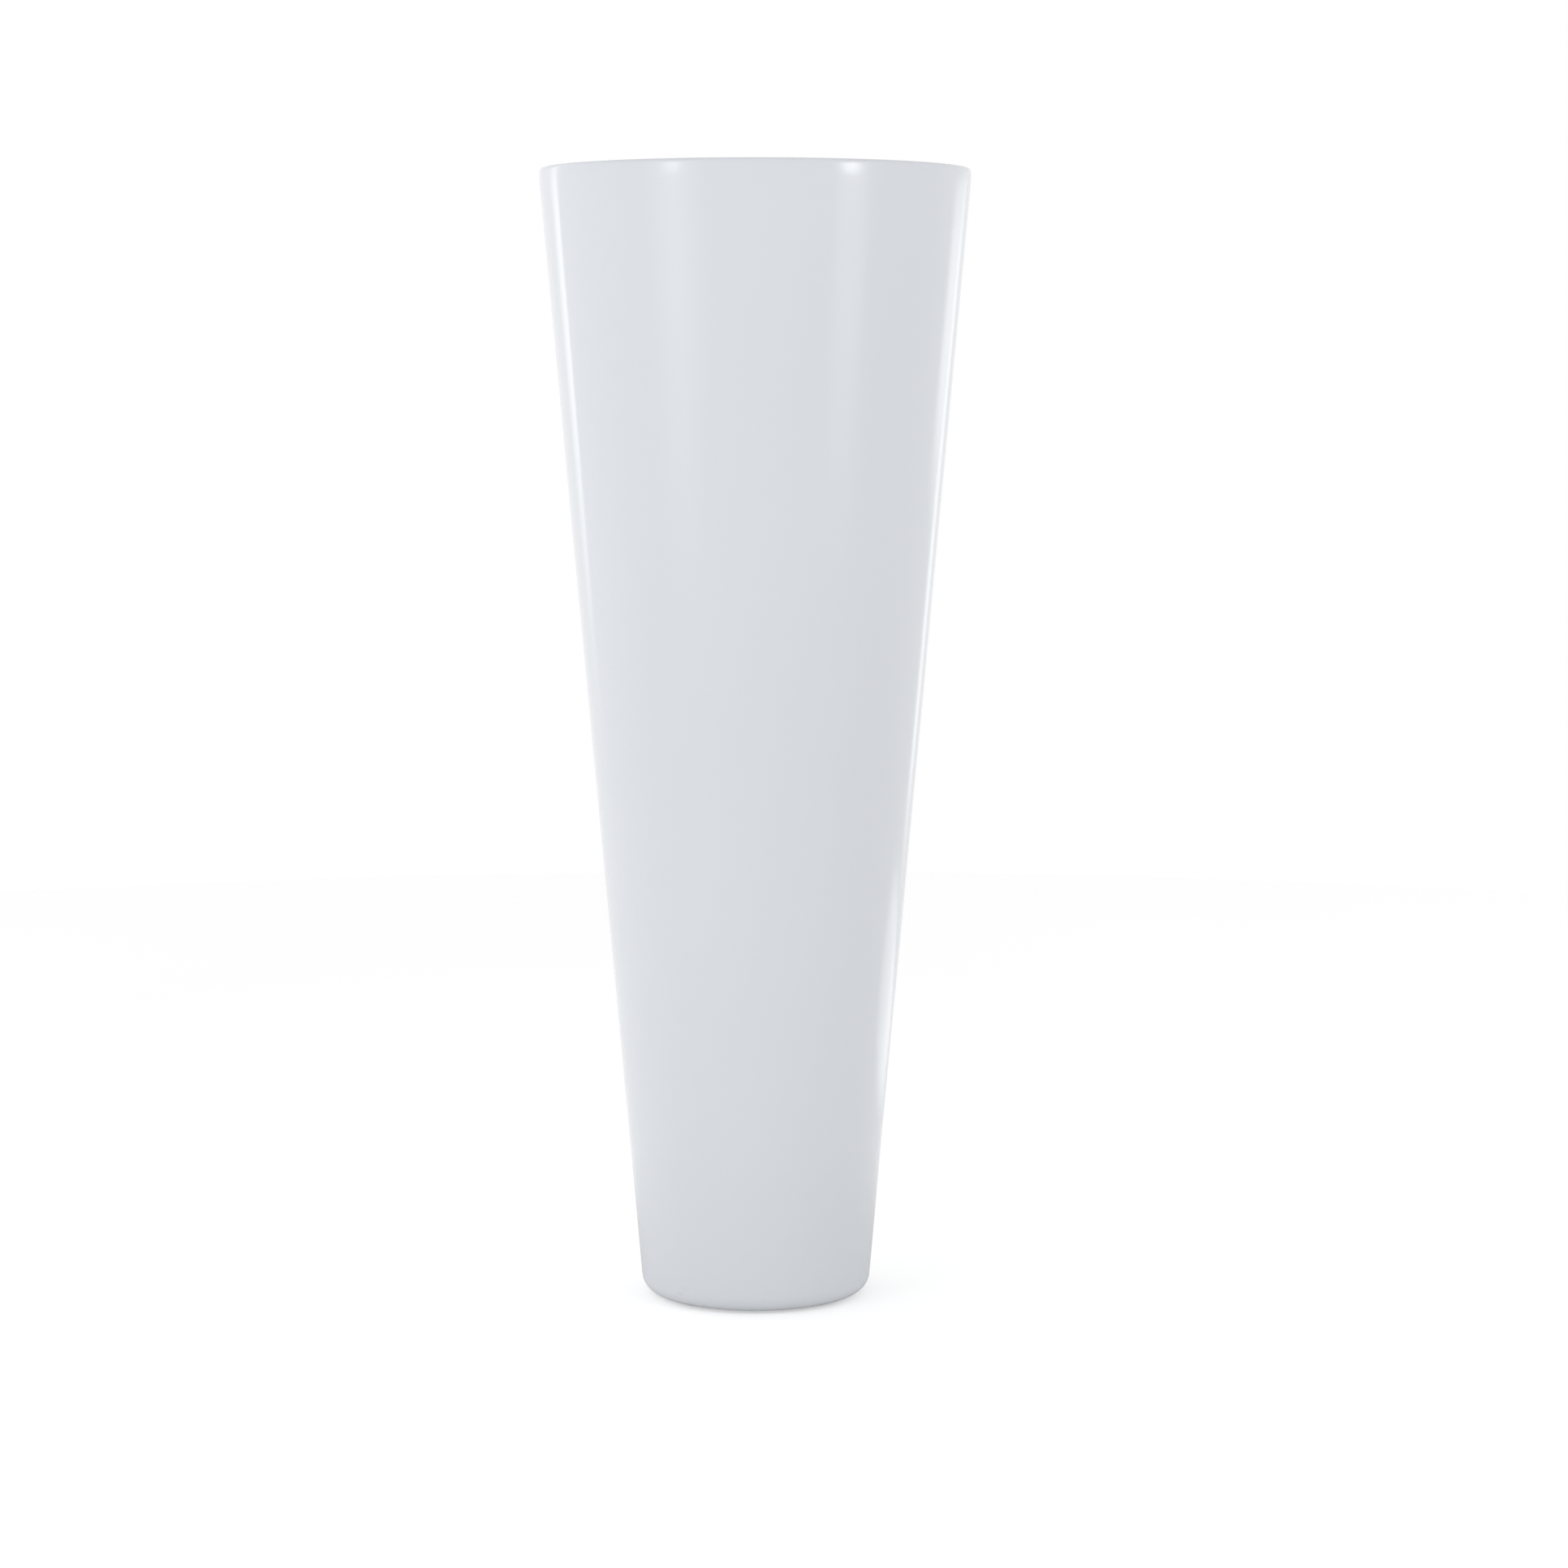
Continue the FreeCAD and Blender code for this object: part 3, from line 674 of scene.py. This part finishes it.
def make_liner_plastic():
    """Satin black polypropylene: a fine spark-eroded grain, flow clouds, and pale scuffs from use."""
    material = bpy.data.materials.new("liner_plastic")
    tree = Tree(material)
    grain = tree.noise(1500, detail=3, roughness=0.6)
    clouds = tree.noise(11, detail=3)
    scuffs = tree.noise(55, detail=4, roughness=0.7, stretch=(1, 1, 8)).step(0.62, 0.78)
    black = tree.mix(clouds, rgb(0.021, 0.021, 0.022), rgb(0.031, 0.031, 0.033))
    tree.finish(
        base_color=tree.mix(0.45 * scuffs, black, rgb(0.13, 0.13, 0.13)),
        roughness=0.40 + 0.10 * clouds + 0.15 * scuffs,
        normal=tree.bump(grain, 0.00005),
    )
    return material


def carve(mesh, operation, tool):
    """The mesh with a tool's form joined to it or cut out of it."""
    work, form = add_object("work", mesh), add_object("form", tool)
    boolean = work.modifiers.new("carve", "BOOLEAN")
    boolean.operation, boolean.object, boolean.solver = operation, form, "EXACT"
    carved = bpy.data.meshes.new_from_object(work.evaluated_get(bpy.context.evaluated_depsgraph_get()))
    for thing in (work, form):
        bpy.data.objects.remove(thing)
    carved.name = mesh.name
    return carved


def upright_form(name, outline, low, high, axis, edge=0.0):
    """A prism on an outline of two coordinates, between two values of the third, with rounded edges."""
    mesh = bpy.data.meshes.new(name)
    outline = np.array(outline, dtype=float)
    count, middle, reach = len(outline), outline.mean(axis=0), np.ptp(outline, axis=0) / 2
    turns = np.linspace(0, math.pi / 2, EDGE_STEPS) if edge else [math.pi / 2]
    rounds = [(edge * (1 - math.sin(turn)), edge * (1 - math.cos(turn))) for turn in turns]
    levels = [(low + along, inset) for inset, along in rounds]
    levels += [(high - along, inset) for inset, along in reversed(rounds)]
    points = [
        np.insert(pair, axis, level).tolist()
        for level, inset in levels for pair in middle + (outline - middle) * (1 - inset / reach)
    ]
    sides = [
        (start + i, start + (i + 1) % count, start + count + (i + 1) % count, start + count + i)
        for start in range(0, count * (len(levels) - 1), count) for i in range(count)
    ]
    top = range(count * (len(levels) - 1), count * len(levels))
    mesh.from_pydata(points, [], [list(reversed(range(count))), list(top), *sides])
    mesh.update()
    return mesh


def circle(radius, across, along):
    """A hole's outline about a middle."""
    angles = np.linspace(0, 2 * math.pi, HOLE_FACES, endpoint=False)
    return [(across + radius * math.cos(a), along + radius * math.sin(a)) for a in angles]


liner_outline = rounded_outline(
    [
        (AXIS_RADIUS, LINER_BOTTOM + GATE_POCKET, 0),
        *[(radius, LINER_BOTTOM + rise, GATE_POCKET_ROUND) for radius, rise in GATE_POCKET_SECTION],
        (LINER_BASE_RADIUS, LINER_BOTTOM, LINER_BASE_ROUND),
        (LINER_RADIUS - COLLAR_DRAFT - COLLAR_STEP, COLLAR_FOOT, COLLAR_ROOT),
        (LINER_RADIUS - COLLAR_DRAFT, COLLAR_FOOT, COLLAR_ROUND),
        (LINER_RADIUS, LEDGE_TOP, COLLAR_ROOT),
        (FLANGE_RADIUS, LEDGE_TOP, FLANGE_FOOT_ROUND),
        (FLANGE_RADIUS, FLANGE_TOP, FLANGE_ROUND),
        (LINER_INNER_RADIUS, FLANGE_TOP, FLANGE_ROUND),
        (LINER_INNER_RADIUS - COLLAR_DRAFT, COLLAR_FOOT + LINER_WALL, COLLAR_ROOT),
        (LINER_INNER_RADIUS - COLLAR_DRAFT - COLLAR_STEP, COLLAR_FOOT + LINER_WALL, COLLAR_ROUND),
        (LINER_BASE_RADIUS - LINER_WALL, LINER_FLOOR, LINER_BASE_ROUND - LINER_WALL),
        *[(radius, LINER_FLOOR + rise, FLOOR_MARK_ROUND) for radius, rise in FLOOR_MARKS],
        (AXIS_RADIUS, LINER_FLOOR + GATE_STUB, 0),
    ],
    LINER_ROW,
    closed=False,
)
liner_mesh = turned_mesh("planting_liner", [(turned_points(liner_outline, TURNED_SEGMENTS), False)])
lug_outline = rounded_outline(
    [
        (-LUG_HALF_WIDTH, LUG_FOOT, 0),
        (LUG_HALF_WIDTH, LUG_FOOT, 0),
        (LUG_HALF_WIDTH, LUG_TOP, LUG_CORNER),
        (-LUG_HALF_WIDTH, LUG_TOP, LUG_CORNER),
    ],
    LUG_ROW,
)
for inner, outer in ((LUG_INNER_Y, LUG_OUTER_Y), (-LUG_OUTER_Y, -LUG_INNER_Y)):
    lug = upright_form("lug", lug_outline, inner, outer, 1, LUG_EDGE)
    liner_mesh = carve(liner_mesh, "UNION", lug)
for x in (-HINGE_X, HINGE_X):
    hole = circle(WIRE_RADIUS + WIRE_ROOM, x, HINGE_Z)
    pin = upright_form("hinge_hole", hole, -HINGE_CUT, HINGE_CUT, 1)
    liner_mesh = carve(liner_mesh, "DIFFERENCE", pin)
for i in range(LINER_DRAINS):
    turn = 2 * math.pi * i / LINER_DRAINS
    drain_x, drain_y = LINER_DRAIN_CIRCLE * math.cos(turn), LINER_DRAIN_CIRCLE * math.sin(turn)
    hole = circle(LINER_DRAIN_RADIUS, drain_x, drain_y)
    drain = upright_form("drain", hole, LINER_BOTTOM - DRAIN_CUT, LINER_FLOOR + DRAIN_CUT, 2)
    liner_mesh = carve(liner_mesh, "DIFFERENCE", drain)
liner_mesh.shade_smooth()
liner_mesh.set_sharp_from_angle(angle=SHARP_ANGLE)
place_piece("planting_liner", liner_mesh, "liner", ["liner"], "liner_plastic", make_liner_plastic())


# Handles: two bails bent from drawn stainless wire. Each runs round one side of the liner's mouth, and
# its ends, bent outwards, are sprung into the holes of the lugs, where they turn.
WIRE_FACES = 28
WIRE_STEP = 0.0025
WIRE_CHAMFER = 0.0005
BEND_POINTS = 28
END_SHARES = (0.25, 0.5, 0.75, 1)
LINES_SCALE = 5200.0
LINES_DRIFT = 0.01


def make_handle_wire():
    """Drawn stainless wire: bright, with fine lengthwise lines and smears."""
    material = bpy.data.materials.new("handle_wire")
    tree = Tree(material)
    right, back, up = tree.parts(tree.place(), "XYZ")
    from_axis = (right * right + back * back) ** 0.5
    section = tree.add("ShaderNodeCombineXYZ", {}, {"X": from_axis, "Y": up, "Z": LINES_DRIFT * right})
    lines = tree.add("ShaderNodeTexNoise", {}, {"Vector": section, "Scale": LINES_SCALE, "Detail": 2.0})
    smears = tree.noise(45, detail=3)
    tree.finish(
        base_color=tree.mix(lines, rgb(0.52, 0.515, 0.50), rgb(0.66, 0.655, 0.645)),
        metallic=1.0,
        roughness=0.2 + 0.12 * lines + 0.14 * smears,
        normal=tree.bump(lines, 0.000012),
    )
    return material


def wire_line():
    """The line of the right-hand handle's wire, from its end in the front lug to that in the back lug."""
    turn = math.atan2(BEND_Y, BEND_X)
    run = np.linspace(0, turn, math.ceil(HANDLE_RADIUS * turn / WIRE_STEP))
    bend = np.linspace(math.pi + turn, math.pi, BEND_POINTS)[1:]
    half = [(HANDLE_RADIUS * math.cos(a), HANDLE_RADIUS * math.sin(a)) for a in run]
    half += [(BEND_X + BEND_RADIUS * math.cos(a), BEND_Y + BEND_RADIUS * math.sin(a)) for a in bend]
    half += [(HINGE_X, BEND_Y + (LUG_OUTER_Y - BEND_Y) * share) for share in END_SHARES]
    half = np.array(half)
    return np.concatenate([(half * (1, -1))[:0:-1], half])


def wire_mesh(name, line):
    """A round wire along a level line, with its ends chamfered."""
    ahead = np.gradient(line, axis=0)
    ahead /= np.linalg.norm(ahead, axis=1)[:, None]
    near_start, near_end = line[:1] + ahead[:1] * WIRE_CHAMFER, line[-1:] - ahead[-1:] * WIRE_CHAMFER
    line = np.concatenate([line[:1], near_start, line[1:-1], near_end, line[-1:]])
    ahead = np.concatenate([ahead[:1], ahead, ahead[-1:]])
    radius = np.full(len(line), WIRE_RADIUS)
    radius[[0, -1]] -= WIRE_CHAMFER
    angles = np.linspace(0, 2 * math.pi, WIRE_FACES, endpoint=False)
    aside = np.stack([ahead[:, 1], -ahead[:, 0]], axis=1)
    points = np.empty((len(line), WIRE_FACES, 3))
    across = aside[:, None, :] * (radius[:, None] * np.cos(angles))[..., None]
    points[..., :2] = line[:, None, :] + across
    points[..., 2] = HINGE_Z + radius[:, None] * np.sin(angles)
    return turned_mesh(name, [(points, False)])


handle_wire = make_handle_wire()
right_line = wire_line()
for side, line in (("right", right_line), ("left", -right_line)):
    handle = f"{side}_handle"
    bail_mesh = wire_mesh(f"{side}_bail", line)
    place_piece(f"{side}_bail", bail_mesh, handle, [handle], "handle_wire", handle_wire)


# Studio: a pale floor in a white room, a softbox with a lamp in it to each side of the camera, a tall
# strip light to each side behind the vase, and a fill and a pool of light painted on the floor at the
# right.
# The lights are cards that the camera doesn't see; the pool is the floor's own glow.
FLOOR_RADIUS = 3.0
FLOOR_FACES = 96
FLOOR_GREY = 0.8
FLOOR_SEEN = 0.40
SHADE_NEAR = 0.17
SHADE_FAR = 0.62
# The floor's glow fades in over these distances from the vase, a painted shadow round its foot, and it is
# brighter to the left as painted light.
FLOOR_NEAR = 0.0
FLOOR_FAR = 0.16
FLOOR_GLOW = 0.11
FLOOR_GLOW_LEFT = 0.23
FLOOR_LEFT_REACH = (0.3, -0.7)
# A pool of light painted on the floor at the right, as a patch of the floor's glow.
POOL_GLOW = 0.72
POOL_TURN = math.radians(134)
POOL_DISTANCE = 1.42
POOL_LENGTH = 0.75
POOL_WIDTH = 0.42
POOL_FADE = (1, 0.35)
ROOM_GLOW = 0.731
ROOM_GLOW_LEFT = 0.262
ROOM_GLOW_RIGHT = 0.08
ROOM_GLOW_BACK = 0.12
ROOM_LEFT_REACH = (0.2, -0.9)
ROOM_RIGHT_REACH = (0.1, 0.9)
ROOM_BACK_REACH = (0, 1)
CEILING_SHADE = 0.2
CEILING_REACH = (0.15, 0.8)
# Turn from the camera and lean (degrees), distance, foot and top, width, brightness, and the widths over
# which the card fades at its left, right, foot and top.
LIGHT_CARDS = {
    "left_softbox": (-42, 0, 1.9, (0.12, 1.8), 1.3, 2.25, (0.7, 0.7, 0.62, 0.3)),
    "right_softbox": (50.5, 0, 1.9, (0.2, 1.8), 0.8, 2.05, (0.25, 0.25, 0.5, 0.3)),
    "left_lamp": (-42, 0, 1.85, (0.82, 1.4), 0.4, 7.0, (0.2, 0.2, 0.24, 0.3)),
    "right_lamp": (49, 0, 1.85, (0.80, 1.4), 0.45, 10.0, (0.2, 0.2, 0.24, 0.3)),
    "left_strip": (-130.2, 11, 1.7, (0.2, 2.0), 0.36, 2.45, (0.34, 0.02, 0.6, 0.3)),
    "right_strip": (145, 0, 1.7, (0.02, 1.15), 0.38, 1.75, (0.12, 0.15, 0.3, 0.3)),
    "right_fill": (133.5, 0, 1.65, (0.5, 1.1), 0.46, 1.8, (0.2, 0.1, 0.25, 0.25)),
}
CAMERA_DISTANCE = 3.460
CAMERA_HEIGHT = 0.8174
CAMERA_TILT = math.radians(5.92)
CAMERA_PAN = 0.0073
CAMERA_ROLL = 0.0002
PHOTO_SIDE = 1932
FOCAL_PIXELS = 4815
SENSOR = 36.0


def background_rays(tree):
    """1 for rays that show the background: the camera's, and those mirrored or let through."""
    direct, mirrored, let_through = (
        tree.add("ShaderNodeLightPath", output=ray)
        for ray in ("Is Camera Ray", "Is Glossy Ray", "Is Transmission Ray")
    )
    return direct.larger(mirrored).larger(let_through)


def make_world():
    """A pale room, brighter to both sides and behind and dimmer overhead, seen as plain white."""
    world = bpy.data.worlds.new("studio_room")
    bpy.context.scene.world = world
    tree = Tree(world)
    right, back, up = tree.parts(tree.add("ShaderNodeTexCoord", output="Generated"), "XYZ")
    level = (
        ROOM_GLOW
        + ROOM_GLOW_LEFT * right.step(*ROOM_LEFT_REACH)
        + ROOM_GLOW_RIGHT * right.step(*ROOM_RIGHT_REACH)
        + ROOM_GLOW_BACK * back.step(*ROOM_BACK_REACH)
    )
    room = level * (1 - CEILING_SHADE * up.step(*CEILING_REACH))
    seen = tree.mix(background_rays(tree), room, rgb(1, 1, 1))
    backdrop = tree.add("ShaderNodeBackground", {}, {"Color": seen, "Strength": 1.0})
    tree.add("ShaderNodeOutputWorld", {}, {"Surface": backdrop})


def make_floor():
    """A pale matt floor, lit up to white where it is seen, that keeps the vase's shadow.

    Near the vase it is mirrored dimmer than it is seen, as the shaded floor round a foot is: painted
    shade.
    Its glow is painted light. It is brighter to the left and in a pool at the right, and it fades out
    near the vase as a painted shadow round the foot.
    """
    mesh = bpy.data.meshes.new("floor")
    angles = np.linspace(0, 2 * math.pi, FLOOR_FACES, endpoint=False)
    rim = [(FLOOR_RADIUS * math.cos(a), FLOOR_RADIUS * math.sin(a), 0) for a in angles]
    mesh.from_pydata(rim, [], [list(range(FLOOR_FACES))])
    floor = add_object("floor", mesh)
    material = bpy.data.materials.new("pale_floor")
    tree = Tree(material)
    right, back = tree.parts(tree.place(), "XY")
    from_vase = (right * right + back * back) ** 0.5
    # Painted light: the glow is brighter to the left, and fades out near the vase as a painted shadow
    # round the foot.
    glow = FLOOR_GLOW + FLOOR_GLOW_LEFT * right.step(*FLOOR_LEFT_REACH)
    glow = glow * from_vase.step(FLOOR_NEAR, FLOOR_FAR)
    # A pool of light painted on the floor at the right.
    pool_x, pool_y = math.sin(POOL_TURN), -math.cos(POOL_TURN)
    along = (pool_x * right + pool_y * back - POOL_DISTANCE) / POOL_LENGTH
    across = (pool_y * right - pool_x * back) / POOL_WIDTH
    pool = POOL_GLOW * (along * along + across * across).step(*POOL_FADE)
    is_camera = tree.add("ShaderNodeLightPath", output="Is Camera Ray")
    seen = FLOOR_SEEN * is_camera.larger(from_vase.step(SHADE_NEAR, SHADE_FAR))
    strength = pool + glow + (seen - glow) * background_rays(tree)
    matt = tree.add("ShaderNodeBsdfDiffuse", {}, {"Color": rgb(FLOOR_GREY, FLOOR_GREY, FLOOR_GREY)})
    lit_up = tree.add("ShaderNodeEmission", {}, {"Color": rgb(1, 1, 1), "Strength": strength})
    surface = tree.add("ShaderNodeAddShader", {}, {0: matt, 1: lit_up})
    tree.add("ShaderNodeOutputMaterial", {}, {"Surface": surface})
    mesh.materials.append(material)


def make_light_card(name, turn, lean, distance, heights, width, level, fades):
    """A light card facing the vase's axis, so far round from the camera, that fades out at its edges."""
    mesh = bpy.data.meshes.new(name)
    foot, top = heights
    half, middle, reach = width / 2, (foot + top) / 2, (top - foot) / 2
    corners = [(-half, 0, -reach), (half, 0, -reach), (half, 0, reach), (-half, 0, reach)]
    mesh.from_pydata(corners, [], [(0, 1, 2, 3)])
    card = add_object(name, mesh)
    turn, lean = math.radians(turn), math.radians(lean)
    card.matrix_world = (
        Matrix.Translation((distance * math.sin(turn), -distance * math.cos(turn), middle))
        @ Matrix.Rotation(turn, 4, "Z")
        @ Matrix.Rotation(lean, 4, "Y")
    )
    card.visible_camera = False
    material = bpy.data.materials.new(name)
    tree = Tree(material)
    across, up = tree.parts(tree.place(), "XZ")
    fade_left, fade_right, fade_foot, fade_top = fades
    sides = across.step(-half, -half + fade_left) * across.step(half, half - fade_right)
    cover = sides * up.step(-reach, -reach + fade_foot) * up.step(reach, reach - fade_top)
    clear = tree.add("ShaderNodeBsdfTransparent")
    light = tree.add("ShaderNodeEmission", {}, {"Color": rgb(1, 1, 1), "Strength": level})
    surface = tree.add("ShaderNodeMixShader", {}, {0: cover, 1: clear, 2: light})
    tree.add("ShaderNodeOutputMaterial", {}, {"Surface": surface})
    mesh.materials.append(material)


make_world()
make_floor()
for name, card_values in LIGHT_CARDS.items():
    make_light_card(name, *card_values)

camera = add_object("camera", bpy.data.cameras.new("camera"))
camera.data.sensor_width = SENSOR
camera.data.lens = FOCAL_PIXELS / PHOTO_SIDE * SENSOR
camera.matrix_world = (
    Matrix.Translation((0, -CAMERA_DISTANCE, CAMERA_HEIGHT))
    @ Matrix.Rotation(-CAMERA_PAN, 4, "Z")
    @ Matrix.Rotation(math.pi / 2 - CAMERA_TILT, 4, "X")
    @ Matrix.Rotation(CAMERA_ROLL, 4, "Z")
)
bpy.context.scene.camera = camera
bpy.context.scene.view_settings.view_transform = "Standard"
